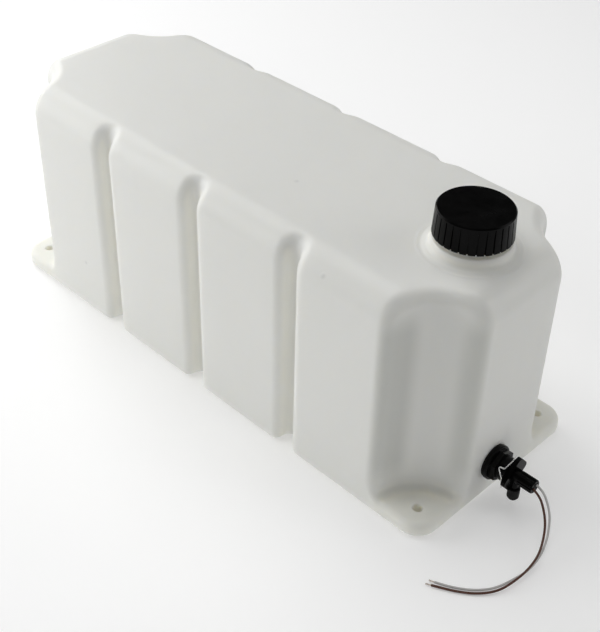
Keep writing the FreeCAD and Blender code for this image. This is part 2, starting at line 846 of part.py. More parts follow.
def float_and_pin():
    barrel = turned("float_barrel", [
        ("0", "float_start"),
        ("float_radius - float_edge", "float_start"),
        ("float_radius", "float_start + float_edge"),
        ("float_radius", "float_start + float_length - float_edge"),
        ("float_radius - float_edge", "float_start + float_length"),
        ("0", "float_start + float_length"),
    ])
    parts = [barrel]
    holes = [cylinder("magnet_bore", "magnet_pocket",
                      "magnet_length + magnet_start - float_start + magnet_slack", z="float_start")]
    across = Rotation(Vector(1, 0, 0), 90)
    for name, far_face in (("near", "-ear_gap"), ("far", "ear_gap + ear_thickness")):
        parts.append(cylinder(f"ear_eye_{name}", "ear_radius", "ear_thickness", y=far_face, rotation=across))
        parts.append(box(f"ear_arm_{name}", "2 * ear_radius", "ear_thickness", "float_start + ear_overlap",
                         x="-ear_radius", y=f"{far_face} - ear_thickness"))
        holes.append(cylinder(f"ear_bore_{name}", "ear_hole", "3 * ear_thickness",
                              y=f"{far_face} + ear_thickness", rotation=across))
    solid = cut("sensor_float", joined("float_solid", *parts), joined("float_holes", *holes))
    # the float's own +Z runs from the pin to its far end; hanging, it points inwards and down
    hanging = Rotation(Vector(0, 1, 0), -(90 + size("float_droop")))
    place(solid, "tank_length / 2 - pivot_place", "fitting_across", "fitting_up", hanging)
    finish(solid, "sensor_float")
    magnet = cylinder("float_magnet", "magnet_radius", "magnet_length")
    place(magnet, "tank_length / 2 - pivot_place - magnet_start * cos(float_droop * 1 deg)",
          "fitting_across", "fitting_up - magnet_start * sin(float_droop * 1 deg)", hanging)
    finish(magnet, "float_magnet")

    pin = cylinder("float_pin", "pin_radius", "2 * pin_half", x="tank_length / 2 - pivot_place",
                   y="fitting_across + pin_half", z="fitting_up", rotation=across)
    finish(pin, "float_pin")


# ---- wire forms ----

def rounded_path(points, bend_radius=None):
    """A wire of straight runs joined by tangent arcs, and the arcs' radii.

    Without a bend radius each arc is as large as its two runs allow.
    """
    spots = [Vector(*point) for point in points]
    edges = []
    radii = []
    start = spots[0]
    for before, corner, after in zip(spots, spots[1:], spots[2:]):
        arriving = (corner - before).normalize()
        leaving = (after - corner).normalize()
        half_turn = arriving.getAngle(leaving) / 2
        shorter = min((corner - before).Length, (after - corner).Length)
        radius = bend_radius or CORD_BEND_SHARE * shorter / math.tan(half_turn)
        trim = radius * math.tan(half_turn)
        first = corner - arriving * trim
        last = corner + leaving * trim
        inwards = (leaving - arriving).normalize()
        middle = corner + inwards * (radius / math.cos(half_turn) - radius)
        edges.append(Part.LineSegment(start, first).toShape())
        edges.append(Part.Arc(first, middle, last).toShape())
        radii.append(radius)
        start = last
    edges.append(Part.LineSegment(start, spots[-1]).toShape())
    return Part.Wire(edges), radii


def tube_along(name, points, radius, bend_radius=None):
    """A round wire or lead along a path; prints its bends and compares its volume with section x length."""
    path, radii = rounded_path(points, bend_radius)
    direction = Vector(*points[1]) - Vector(*points[0])
    section = Part.Wire([Part.makeCircle(radius, Vector(*points[0]), direction)])
    shape = path.makePipeShell([section], True, False)
    expected = math.pi * radius ** 2 * path.Length
    if abs(shape.Volume - expected) > 0.01 * expected:
        raise RuntimeError(f"{name}: volume {shape.Volume:.1f}, expected {expected:.1f}")
    print(f"{name}: length {path.Length:.1f}, bends", " ".join(f"{bend:.1f}" for bend in radii))
    item = doc.addObject("Part::Feature", name)
    item.Shape = shape
    return finish(item, name)


def retaining_clip():
    route = [(along + size("tank_length / 2"), across + dims.fitting_across, up + dims.fitting_up)
             for along, across, up in CLIP_ROUTE]
    tube_along("retaining_clip", route, dims.clip_wire, dims.clip_bend)


def leads():
    for colour, route in (("brown", BROWN_ROUTE), ("grey", GREY_ROUTE)):
        tube_along(f"lead_{colour}", route, dims.lead_radius)
        end = Vector(*route[-1])
        direction = (end - Vector(*route[-2])).normalize()
        tip = doc.addObject("Part::Feature", f"tip_{colour}")
        tip.Shape = Part.makeCylinder(dims.tip_radius, dims.tip_length, end, direction)
        finish(tip, f"tip_{colour}")


def write_parts():
    doc.recompute()
    for item in doc.Objects:
        if "Invalid" in item.State or "Error" in item.State:
            raise RuntimeError(f"{item.Name} failed: {item.State}")
    os.makedirs("parts", exist_ok=True)
    for item in sub_parts:
        if item.Shape.isNull() or not item.Shape.isValid():
            raise RuntimeError(f"{item.Label} has no valid shape")
        item.Shape.exportStep(f"parts/{item.Label}.step")
        print(f"{item.Label}: {len(item.Shape.Solids)} solid(s), volume {item.Shape.Volume:.0f}")


tank_shell()
filler_cap()
bulkhead()
sensor_plug()
cable_barrel()
stem_and_switch()
float_and_pin()
retaining_clip()
leads()
write_parts()
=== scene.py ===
"""A moulded plastic tank with its screw cap, level sensor and leads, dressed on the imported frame.

Everything is in metres, in the frame's own axes: +X towards the filler neck's end, +Z up.
"""

import math

import bmesh
import bpy
import numpy as np
from mathutils import Matrix, Vector


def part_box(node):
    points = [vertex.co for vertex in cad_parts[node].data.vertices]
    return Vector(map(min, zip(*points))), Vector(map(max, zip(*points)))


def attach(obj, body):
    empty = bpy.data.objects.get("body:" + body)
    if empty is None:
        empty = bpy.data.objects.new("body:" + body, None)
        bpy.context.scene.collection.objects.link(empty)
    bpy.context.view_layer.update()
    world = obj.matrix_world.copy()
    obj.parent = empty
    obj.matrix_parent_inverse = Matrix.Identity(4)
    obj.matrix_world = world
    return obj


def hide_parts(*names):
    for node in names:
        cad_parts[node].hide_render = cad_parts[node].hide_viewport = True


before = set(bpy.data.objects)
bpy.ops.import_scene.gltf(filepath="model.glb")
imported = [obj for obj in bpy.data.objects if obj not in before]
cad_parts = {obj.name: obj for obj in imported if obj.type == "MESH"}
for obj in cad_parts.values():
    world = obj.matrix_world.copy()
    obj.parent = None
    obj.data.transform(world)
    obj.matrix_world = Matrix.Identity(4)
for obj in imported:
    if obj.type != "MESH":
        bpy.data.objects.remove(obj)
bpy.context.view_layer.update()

# ---- sizes that the frame gives ----

SHELL_LOW, SHELL_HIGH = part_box("tank_shell")
CAP_LOW, CAP_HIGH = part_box("filler_cap")
GASKET_LOW, GASKET_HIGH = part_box("flange_gasket")

HALF_LENGTH = SHELL_HIGH.x
HALF_WIDTH = SHELL_HIGH.y
NECK_TOP = SHELL_HIGH.z
NECK_X = (CAP_LOW.x + CAP_HIGH.x) / 2
FITTING_Y = (GASKET_LOW.y + GASKET_HIGH.y) / 2
FITTING_Z = (GASKET_LOW.z + GASKET_HIGH.z) / 2

# ---- sizes of the moulded shell ----

NECK_HEIGHT = 0.0315
TOP = NECK_TOP - NECK_HEIGHT
WALL = 0.0048
PLAN_CORNER = 0.020
TOP_EDGE = 0.0245
BOTTOM_EDGE = 0.005

CHANNEL_RADIUS = 0.0505
CHANNEL_MOUTH = 0.012
FOOT_HEIGHT = 0.015
FOOT_EDGE = 0.006
FOOT_FILLET = 0.006
FOOT_HOLE = 0.004
HOLE_EDGE = 0.0012
HOLE_INSET = 0.020

GROOVE_PITCH = 0.117
GROOVE_DEPTH = 0.0135
GROOVE_FLOOR = 0.006
GROOVE_MOUTH = 0.010

NECK_RADIUS = 0.0272
NECK_BORE = 0.0235
NECK_FLARE = 0.012
NECK_RIM = 0.0008
COLLAR_RADIUS = 0.031
COLLAR_MIDDLE = 0.007
COLLAR_HALF = 0.001
RING_RADII = (0.037, 0.042)
RING_HEIGHT = 0.00025
RING_HALF = 0.0012
THREAD_PITCH = 0.005
THREAD_DEPTH = 0.0011
THREAD_START = 0.0165
THREAD_TURNS = 2.2
THREAD_ROOT_HALF = 0.0011
THREAD_CREST_HALF = 0.0006
WALL_HOLE = 0.0099
WALL_HOLE_REACH = 3 * WALL

COARSE_STEP = 0.0026
FINE_STEP = 0.001
SLOPE_STEP = FINE_STEP / 4
SMALLEST_SLOPE = 1e-12
SEATING_PASSES = 4


# ---- the shell as a distance field ----


def round_max(a, b, radius):
    """What two solids share, with the edge between them rounded."""
    outside = np.hypot(np.maximum(a + radius, 0), np.maximum(b + radius, 0))
    return np.minimum(-radius, np.maximum(a, b)) + outside


def round_min(a, b, radius):
    """Two solids joined, with a fillet between them."""
    return -round_max(-a, -b, radius)


def rounded_block(x, y, z):
    """The block before its channels and grooves are sunk into it."""
    along = np.abs(x) - HALF_LENGTH + PLAN_CORNER
    across = np.abs(y) - HALF_WIDTH + PLAN_CORNER
    corner = np.hypot(np.maximum(along, 0), np.maximum(across, 0))
    plan = corner + np.minimum(np.maximum(along, across), 0) - PLAN_CORNER
    topped = round_max(plan, z - TOP, TOP_EDGE)
    return round_max(topped, -z, BOTTOM_EDGE)


def corner_channel(x, y):
    """The round channel down each corner."""
    return np.hypot(np.abs(x) - HALF_LENGTH, np.abs(y) - HALF_WIDTH) - CHANNEL_RADIUS


def side_groove(x, y):
    """The three upright grooves in each long side."""
    nearest = np.abs(x)
    for place in (-GROOVE_PITCH, GROOVE_PITCH):
        nearest = np.minimum(nearest, np.abs(x - place))
    inward = HALF_WIDTH - np.abs(y) - GROOVE_DEPTH + GROOVE_FLOOR
    return np.hypot(nearest, np.maximum(inward, 0)) - GROOVE_FLOOR


def moulded_block(x, y, z):
    """The outside of the tank without its neck: the channels stop above the feet."""
    channel = round_max(corner_channel(x, y), FOOT_HEIGHT - z, FOOT_FILLET)
    mouth = np.interp(z, (FOOT_HEIGHT, 2 * FOOT_HEIGHT), (FOOT_EDGE, CHANNEL_MOUTH))
    carved = round_max(rounded_block(x, y, z), -channel, mouth)
    return round_max(carved, -side_groove(x, y), GROOVE_MOUTH)


def cavity_block(x, y, z):
    """The inside of the tank: the channels run to the bottom, because the feet are solid."""
    carved = round_max(rounded_block(x, y, z), -corner_channel(x, y), CHANNEL_MOUTH)
    return round_max(carved, -side_groove(x, y), GROOVE_MOUTH) + WALL


def thread_height(x, y, z):
    """How far the neck's thread stands out, round the neck's axis."""
    turn = np.arctan2(y, x - NECK_X) / math.tau % 1
    climbed = (z - TOP - THREAD_START) / THREAD_PITCH
    lap = np.round(climbed - turn)
    off_centre = np.abs(climbed - turn - lap) * THREAD_PITCH
    slope = (THREAD_ROOT_HALF - off_centre) / (THREAD_ROOT_HALF - THREAD_CREST_HALF)
    run_out = np.minimum(turn + lap, THREAD_TURNS - turn - lap) * math.tau
    return THREAD_DEPTH * np.clip(slope, 0, 1) * np.clip(run_out, 0, 1)


def neck(x, y, z):
    """The filler neck's outside, with its thread and the collar under the cap."""
    out = np.hypot(x - NECK_X, y)
    column = round_max(out - NECK_RADIUS - thread_height(x, y, z), z - NECK_TOP, NECK_RIM)
    collar = round_max(out - COLLAR_RADIUS, np.abs(z - TOP - COLLAR_MIDDLE) - COLLAR_HALF,
                       COLLAR_HALF / 2)
    return np.maximum(np.minimum(column, collar), TOP - NECK_HEIGHT - z)


def neck_rings(x, y):
    """The two faint raised rings that the mould left round the neck."""
    out = np.hypot(x - NECK_X, y)
    return sum(RING_HEIGHT * np.exp(-((out - radius) / RING_HALF) ** 2) for radius in RING_RADII)


def foot_holes(x, y):
    """The upright bolt holes in the feet."""
    across = np.hypot(np.abs(x) - HALF_LENGTH + HOLE_INSET, np.abs(y) - HALF_WIDTH + HOLE_INSET)
    return across - FOOT_HOLE


def fitting_hole(x, y, z):
    """The sensor fitting's hole in the end wall."""
    hole = np.hypot(y - FITTING_Y, z - FITTING_Z) - WALL_HOLE
    return np.maximum(hole, HALF_LENGTH - WALL_HOLE_REACH - x)


def outer_skin(x, y, z):
    """The tank's outside, as if it were solid and had no holes."""
    block = moulded_block(x, y, z) - neck_rings(x, y) * (z > TOP - TOP_EDGE)
    return round_min(block, neck(x, y, z), NECK_FLARE)


def shell_field(x, y, z):
    """Distance to the moulded shell, negative inside its wall."""
    outside = round_max(outer_skin(x, y, z), -foot_holes(x, y), HOLE_EDGE)
    bore = np.maximum(np.hypot(x - NECK_X, y) - NECK_BORE, TOP - NECK_HEIGHT - z)
    cavity = round_min(cavity_block(x, y, z), bore, WALL)
    return np.maximum(np.maximum(outside, -cavity), -fitting_hole(x, y, z))


# ---- from the field to a mesh ----


def grid_line(low, high, fine_stretches):
    """Places along one axis, close together in the fine stretches."""
    factor = 1
    places = [low]
    while places[-1] < high:
        fine = any(start < places[-1] < end for start, end in fine_stretches)
        places.append(places[-1] + factor * (FINE_STEP if fine else COARSE_STEP))
    return np.array(places)


def gradient(field, points):
    """The field's unit slope at each point."""
    slope = np.empty_like(points)
    for axis in range(3):
        ahead, behind = points.copy(), points.copy()
        ahead[:, axis] += SLOPE_STEP
        behind[:, axis] -= SLOPE_STEP
        slope[:, axis] = field(*ahead.T) - field(*behind.T)
    return slope / np.maximum(np.linalg.norm(slope, axis=1, keepdims=True), SMALLEST_SLOPE)


def crossed_cells(inside):
    """A number for each grid cell that the surface crosses, and -1 for the others."""
    count = np.zeros([size - 1 for size in inside.shape], np.int8)
    for i in (0, 1):
        for j in (0, 1):
            for k in (0, 1):
                nx, ny, nz = count.shape
                count += inside[i:nx + i, j:ny + j, k:nz + k]
    crossed = (count > 0) & (count < 8)
    number = np.full(count.shape, -1, np.int32)
    number[crossed] = np.arange(crossed.sum())
    return crossed, number


def faces_across(inside, number):
    """A quad round each grid edge that the surface crosses, facing out of the solid."""
    quads = []
    for axis in range(3):
        order = [(axis + step) % 3 for step in range(3)]
        solid, cell = inside.transpose(order), number.transpose(order)
        near, far = solid[:-1, 1:-1, 1:-1], solid[1:, 1:-1, 1:-1]
        for found, turn in ((near & ~far, 1), (far & ~near, -1)):
            i, j, k = np.nonzero(found)
            ring = [cell[i, j, k], cell[i, j + 1, k], cell[i, j + 1, k + 1], cell[i, j, k + 1]]
            quads.append(np.stack(ring[::turn], axis=1))
    return np.concatenate(quads)


def field_mesh(name, field, lines):
    """A mesh on the field's zero surface, one vertex in each cell, with the field's own normals."""
    grid = np.meshgrid(*lines, indexing="ij")
    inside = field(*grid) < 0
    crossed, number = crossed_cells(inside)
    middles = [(line[1:] + line[:-1]) / 2 for line in lines]
    points = np.stack([m[i] for m, i in zip(middles, np.nonzero(crossed))], axis=1)
    for _ in range(SEATING_PASSES):
        points -= gradient(field, points) * field(*points.T)[:, None]
    mesh = bpy.data.meshes.new(name)
    mesh.from_pydata(points.tolist(), [], faces_across(inside, number).tolist())
    mesh.shade_smooth()
    normals = gradient(field, points)
    mesh.normals_split_custom_set_from_vertices(normals.tolist())
    return mesh, points, normals


def store(mesh, name, values):
    """One number at each vertex, for a material to read."""
    attribute = mesh.attributes.new(name, "FLOAT", "POINT")
    attribute.data.foreach_set("value", values.astype(np.float32))


# ---- camera and leads ----

CAMERA_PLACE = (0.6400, -0.6253, 0.7300)
CAMERA_AZIMUTH = math.radians(44.04)
CAMERA_ELEVATION = math.radians(38.24)
CAMERA_ROLL = math.radians(1.54)
CAMERA_LENS = 67.3

LEAD_DIAMETER = 0.002
BROWN_ROUTE = [
    (0.316, -0.0147, 0.0355), (0.323, -0.0156, 0.0336), (0.3296, -0.018, 0.0275),
    (0.337, -0.0234, 0.020), (0.3424, -0.031, 0.0125), (0.3488, -0.0454, 0.008),
    (0.351, -0.063, 0.006), (0.3492, -0.0802, 0.004), (0.3453, -0.0938, 0.002),
    (0.3353, -0.1064, 0.00105), (0.3234, -0.1154, 0.00105), (0.3131, -0.1211, 0.00105),
    (0.3053, -0.125, 0.00105),
]
GREY_ROUTE = [
    (0.316, -0.0106, 0.0372), (0.322, -0.0104, 0.0354), (0.3289, -0.0125, 0.030),
    (0.336, -0.0163, 0.022), (0.3402, -0.0215, 0.014), (0.3443, -0.0287, 0.0075),
    (0.3482, -0.0415, 0.0025), (0.3496, -0.0593, 0.00105), (0.3461, -0.0769, 0.00105),
    (0.3421, -0.0914, 0.00105), (0.3332, -0.1037, 0.00105), (0.3216, -0.1127, 0.00105),
    (0.3116, -0.1181, 0.00105), (0.3052, -0.1208, 0.00105),
]
STRAND_RADIUS = 0.00019
STRAND_LENGTH = 0.0045
STRAND_TURNS = 0.4
STRAND_SPLAY = 1.5
STRAND_SPACING = 2.1 * STRAND_RADIUS
OUTER_STRANDS = 6
STRAND_STEPS = 4


def add_object(name, data):
    """A new object in the scene."""
    made = bpy.data.objects.new(name, data)
    bpy.context.scene.collection.objects.link(made)
    return made


def camera():
    """The camera at the photograph's viewing angle."""
    data = bpy.data.cameras.new("camera")
    data.lens = CAMERA_LENS
    made = add_object("camera", data)
    turn = (
        Matrix.Rotation(CAMERA_AZIMUTH, 4, "Z")
        @ Matrix.Rotation(math.pi / 2 - CAMERA_ELEVATION, 4, "X")
        @ Matrix.Rotation(CAMERA_ROLL, 4, "Z")
    )
    made.matrix_world = Matrix.Translation(CAMERA_PLACE) @ turn
    bpy.context.scene.camera = made


def tube_curve(name):
    """A round tube with no line yet; each point's own radius is the tube's."""
    curve = bpy.data.curves.new(name, "CURVE")
    curve.dimensions = "3D"
    curve.bevel_depth = 1.0
    curve.bevel_resolution = 4
    curve.resolution_u = 16
    curve.use_fill_caps = True
    return curve


def add_line(curve, places, radius):
    """One smooth line along these places."""
    spline = curve.splines.new("NURBS")
    spline.points.add(len(places) - 1)
    for point, place in zip(spline.points, places):
        point.co = (*place, 1)
        point.radius = radius
    spline.order_u = 3
    spline.use_endpoint_u = True


def bare_strands(name, start, direction):
    """Seven tinned strands, one in the middle and six laid round it, splayed at the cut end."""
    curve = tube_curve(name)
    along = direction.normalized()
    side = along.orthogonal().normalized()
    add_line(curve, [start, start + along * STRAND_LENGTH], STRAND_RADIUS)
    for strand in range(OUTER_STRANDS):
        places = []
        for step in range(STRAND_STEPS + 1):
            share = step / STRAND_STEPS
            turn = math.tau * (strand / OUTER_STRANDS + STRAND_TURNS * share)
            out = STRAND_SPACING * (1 + (STRAND_SPLAY - 1) * share * share)
            places.append(start + along * STRAND_LENGTH * share
                          + Matrix.Rotation(turn, 3, along) @ side * out)
        add_line(curve, places, STRAND_RADIUS)
    return add_object(name, curve)


def lead(colour, route):
    """One insulated lead with its bare tip, laid as the CAD solids lie."""
    curve = tube_curve(f"{colour}_lead")
    add_line(curve, route, LEAD_DIAMETER / 2)
    insulated = add_object(f"{colour}_lead", curve)
    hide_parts(f"lead_{colour}")
    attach(insulated, "tank")
    end = Vector(route[-1])
    tip = bare_strands(f"{colour}_strands", end, end - Vector(route[-2]))
    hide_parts(f"tip_{colour}")
    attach(tip, "tank")
    return insulated, tip


camera()
brown_lead, brown_tip = lead("brown", BROWN_ROUTE)
grey_lead, grey_tip = lead("grey", GREY_ROUTE)

# ---- pieces ----

HOLLOW_REACH = 0.014
NECK_REACH = 0.044
HOLE_REACH = 1.6 * FOOT_HOLE
GRID_MARGIN = 1.37 * COARSE_STEP
# where painted shade darkens the corner channels' steep walls, standing in for the shade that falls
# there
SHADE_BAND_TURN = (math.radians(12), math.radians(30))
SHADE_BAND_SHIFT = math.radians(7)
SHADE_BAND_LOW = 0.055
EASED_ANGLE = math.radians(28)
FLAT_ANGLE = math.radians(1)
MERGE_DISTANCE = 1e-6


def smooth_step(value, start, end):
    """0 before the start, 1 past the end, and an even curve between them."""
    share = np.clip((value - start) / (end - start), 0, 1)
    return share * share * (3 - 2 * share)


def painted_channel_shade(x, y, z):
    """Painted shade on the corner channels: 1 on their steep sides, fading to 0 in their middle and
    at their ends.
    """
    turn = np.arctan2(HALF_LENGTH - np.abs(x), HALF_WIDTH - np.abs(y)) - math.pi / 4
    aside = smooth_step(np.abs(turn + SHADE_BAND_SHIFT), *SHADE_BAND_TURN)
    beyond = smooth_step(corner_channel(x, y), CHANNEL_MOUTH / 6, CHANNEL_MOUTH)
    below_top = smooth_step(TOP - z, TOP_EDGE / 3, 1.5 * TOP_EDGE)
    return aside * (1 - beyond) * below_top * smooth_step(z, FOOT_HEIGHT, SHADE_BAND_LOW)


def moulded_tank():
    """The shell, with how deep in a concave place each spot lies and where the channels' walls are,
    for its colour: painted warm light in its hollows and painted shade on the channels' steep walls.
    """
    neck_stretch = (NECK_X - NECK_REACH, NECK_X + NECK_REACH)
    hole_x = HALF_LENGTH - HOLE_INSET
    hole_y = HALF_WIDTH - HOLE_INSET
    across_fine = [(-NECK_REACH, NECK_REACH)] + [
        (side * hole_y - HOLE_REACH, side * hole_y + HOLE_REACH) for side in (-1, 1)
    ]
    along_fine = [neck_stretch] + [
        (side * hole_x - HOLE_REACH, side * hole_x + HOLE_REACH) for side in (-1, 1)
    ]
    lines = [
        grid_line(-HALF_LENGTH - GRID_MARGIN, HALF_LENGTH + GRID_MARGIN, along_fine),
        grid_line(-HALF_WIDTH - GRID_MARGIN, HALF_WIDTH + GRID_MARGIN, across_fine),
        grid_line(-GRID_MARGIN, NECK_TOP + GRID_MARGIN, [(TOP, NECK_TOP + GRID_MARGIN)]),
    ]
    mesh, points, normals = field_mesh("moulded_tank", shell_field, lines)
    # painted warm light: the more the outside closes round a spot, the lighter and warmer its
    # colour, standing in for light bounced and passed through in the hollows
    ahead = points + HOLLOW_REACH * normals
    store(mesh, "hollow_glow", np.clip(1 - outer_skin(*ahead.T) / HOLLOW_REACH, 0, 1))
    # painted shade mask for the channels' steep walls
    store(mesh, "painted_channel_shade", painted_channel_shade(*points.T))
    piece = add_object("moulded_tank", mesh)
    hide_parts("tank_shell")
    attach(piece, "tank")
    return piece


def eased(node, body, radius, steps=2):
    """A copy of a CAD node with its sharp edges rounded off, which stands for it."""
    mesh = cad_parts[node].data.copy()
    mesh.name = f"{node}_eased"
    work = bmesh.new()
    work.from_mesh(mesh)
    bmesh.ops.remove_doubles(work, verts=work.verts, dist=MERGE_DISTANCE)
    bmesh.ops.dissolve_limit(work, angle_limit=FLAT_ANGLE, verts=work.verts, edges=work.edges)
    sharp = [e for e in work.edges if e.is_manifold and e.calc_face_angle() > EASED_ANGLE]
    bmesh.ops.bevel(work, geom=sharp, offset=radius, segments=steps, profile=0.5,
                    affect="EDGES", clamp_overlap=True)
    work.to_mesh(mesh)
    work.free()
    mesh.shade_smooth()
    piece = add_object(f"{node}_eased", mesh)
    piece.modifiers.new("even_shading", "WEIGHTED_NORMAL").keep_sharp = True
    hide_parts(node)
    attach(piece, body)
    return piece


# ---- materials ----


def new_material(name, **constants):
    """A material and its shader, with these constants set on the shader's own sockets."""
    made = bpy.data.materials.new(name)
    made.use_nodes = True
    shader = made.node_tree.nodes["Principled BSDF"]
    for socket, value in constants.items():
        shader.inputs[socket.replace("_", " ")].default_value = value
    return made, shader


def add_node(shader, kind, **inputs):
    """A node beside the shader, with these values or links on its inputs."""
    tree = shader.id_data
    made = tree.nodes.new(kind)
    for socket, value in inputs.items():
        target = made.inputs[socket.replace("_", " ")]
        if isinstance(value, bpy.types.NodeSocket):
            tree.links.new(value, target)
        else:
            target.default_value = value
    return made


def noise(shader, scale, detail=3.0, stretch=(1, 1, 1)):
    """Noise in the piece's own place, from 0 to 1, with this many waves to a metre."""
    place = add_node(shader, "ShaderNodeTexCoord").outputs["Object"]
    scaled = add_node(shader, "ShaderNodeMapping", Vector=place, Scale=stretch)
    cloud = add_node(shader, "ShaderNodeTexNoise", Vector=scaled.outputs["Vector"],
                     Scale=scale, Detail=detail)
    return cloud.outputs["Fac"]


def between(shader, share, low, high):
    """The share, from its middle range, stretched between two numbers."""
    made = add_node(shader, "ShaderNodeMapRange", Value=share, From_Min=0.3, From_Max=0.7,
                    To_Min=low, To_Max=high)
    return made.outputs["Result"]


def mixed(shader, share, first, second):
    """One colour fading into another."""
    made = add_node(shader, "ShaderNodeMix")
    made.data_type = "RGBA"
    tree = shader.id_data
    for socket, value in (("Factor_Float", share), ("A_Color", first), ("B_Color", second)):
        target = next(i for i in made.inputs if i.identifier == socket)
        if isinstance(value, bpy.types.NodeSocket):
            tree.links.new(value, target)
        else:
            target.default_value = value
    return next(o for o in made.outputs if o.identifier == "Result_Color")


def bumps(shader, *layers):
    """Surface relief from layers of (height share, height in metres)."""
    normal = None
    for share, height in layers:
        bump = add_node(shader, "ShaderNodeBump", Height=share, Distance=height)
        if normal is not None:
            shader.id_data.links.new(normal, bump.inputs["Normal"])
        normal = bump.outputs["Normal"]
    shader.id_data.links.new(normal, shader.inputs["Normal"])


def connect(shader, **links):
    """Links from other nodes into the shader's sockets."""
    for socket, source in links.items():
        shader.id_data.links.new(source, shader.inputs[socket.replace("_", " ")])


def stored(shader, name):
    """A number stored at each vertex, for a node to read."""
    made = add_node(shader, "ShaderNodeAttribute")
    made.attribute_name = name
    return made.outputs["Fac"]


def dress(pieces, material):
    """The same material all over these pieces."""
    for piece in pieces:
        piece.data.materials.clear()
        piece.data.materials.append(material)


MOULD_MARKS = [(0.058, -0.032, TOP), (-0.158, -HALF_WIDTH, 0.055), (0.153, -0.0985, 0.204)]
MARK_RADIUS = 0.0032


def mould_marks(shader):
    """Small round marks that the mould's pins left, from 0 to 1."""
    place = add_node(shader, "ShaderNodeTexCoord").outputs["Object"]
    total = None
    for spot in MOULD_MARKS:
        away = add_node(shader, "ShaderNodeVectorMath")
        away.operation = "DISTANCE"
        shader.id_data.links.new(place, away.inputs[0])
        away.inputs[1].default_value = spot
        mark = add_node(shader, "ShaderNodeMapRange", Value=away.outputs["Value"], From_Min=0.0,
                        From_Max=MARK_RADIUS, To_Min=1.0, To_Max=0.0)
        mark.interpolation_type = "SMOOTHSTEP"
        if total is None:
            total = mark.outputs["Result"]
            continue
        both = add_node(shader, "ShaderNodeMath")
        both.operation = "ADD"
        shader.id_data.links.new(total, both.inputs[0])
        shader.id_data.links.new(mark.outputs["Result"], both.inputs[1])
        total = both.outputs["Value"]
    return total


def polyethylene():
    """Milky, unpigmented polyethylene: light soaks in; its hollows carry painted warm light, and the
    channels' steep walls painted shade.
    """
    made, shader = new_material(
        "natural_polyethylene", Subsurface_Weight=0.8, Subsurface_Radius=(1.0, 0.96, 0.86),
        Subsurface_Scale=0.009, IOR=1.5)
    cloudy = mixed(shader, noise(shader, 9), (0.80, 0.80, 0.75, 1), (0.84, 0.84, 0.795, 1))
    hollow_glow = stored(shader, "hollow_glow")
    glow_depth = add_node(shader, "ShaderNodeMapRange", Value=hollow_glow, From_Min=0.05,
                     From_Max=0.7, To_Min=0.0, To_Max=1.0)
    # painted warm light in the hollows, lighter and yellower than the plain plastic
    with_painted_glow = mixed(shader, glow_depth.outputs["Result"], cloudy, (0.88, 0.87, 0.80, 1))
    # painted shade: the channels' steep walls get a darker grey colour in place of the shade they
    # fall in
    with_painted_shade = mixed(shader, stored(shader, "painted_channel_shade"), with_painted_glow, (0.64, 0.645, 0.61, 1))
    marks = mould_marks(shader)
    soft_marks = add_node(shader, "ShaderNodeMapRange", Value=marks, From_Min=0.0, From_Max=1.0,
                          To_Min=0.0, To_Max=0.35)
    colour = mixed(shader, soft_marks.outputs["Result"], with_painted_shade, (0.55, 0.56, 0.54, 1))
    connect(shader, Base_Color=colour, Roughness=between(shader, noise(shader, 60), 0.40, 0.52))
    bumps(shader, (noise(shader, 14, detail=1), 0.0008), (noise(shader, 650), 0.00004),
          (marks, 0.0004))
    return made


def black_plastic():
    """Moulded black plastic, smooth, with a very slight grain."""
    made, shader = new_material("black_plastic", IOR=1.46, Specular_IOR_Level=0.09)
    colour = mixed(shader, between(shader, noise(shader, 120), 0.0, 1.0),
                   (0.001, 0.001, 0.001, 1), (0.002, 0.002, 0.002, 1))
    connect(shader, Base_Color=colour, Roughness=between(shader, noise(shader, 60), 0.20, 0.28))
    bumps(shader, (noise(shader, 900), 0.000003), (noise(shader, 60, detail=1), 0.00003))
    return made


def rubber():
    """Matt black rubber."""
    made, shader = new_material("black_rubber", IOR=1.45, Specular_IOR_Level=0.2)
    dusty = mixed(shader, noise(shader, 400), (0.004, 0.004, 0.004, 1), (0.010, 0.010, 0.0095, 1))
    connect(shader, Base_Color=dusty, Roughness=between(shader, noise(shader, 500), 0.55, 0.75))
    bumps(shader, (noise(shader, 1500), 0.00003))
    return made


def insulation(name, low, high):
    """Smooth wire insulation, a little uneven along its length."""
    made, shader = new_material(name, IOR=1.48)
    colour = mixed(shader, noise(shader, 220), low, high)
    connect(shader, Base_Color=colour, Roughness=between(shader, noise(shader, 350), 0.30, 0.45))
    bumps(shader, (noise(shader, 500), 0.00004))
    return made


def drawn_metal(name, low, high, rough_low, rough_high):
    """Bare metal with fine drawing marks."""
    made, shader = new_material(name, Metallic=1.0)
    colour = mixed(shader, noise(shader, 800), low, high)
    streaks = noise(shader, 2500, stretch=(1, 1, 0.1))
    connect(shader, Base_Color=colour, Roughness=between(shader, streaks, rough_low, rough_high))
    bumps(shader, (streaks, 0.00001))
    return made


def soft_foam(name, low, high):
    """Closed-cell foam with a fine pitted skin."""
    made, shader = new_material(name, IOR=1.4)
    cells = add_node(shader, "ShaderNodeTexVoronoi", Scale=1400.0,
                     Vector=add_node(shader, "ShaderNodeTexCoord").outputs["Object"])
    colour = mixed(shader, cells.outputs["Distance"], low, high)
    connect(shader, Base_Color=colour, Roughness=between(shader, noise(shader, 300), 0.7, 0.9))
    bumps(shader, (cells.outputs["Distance"], 0.0001))
    return made


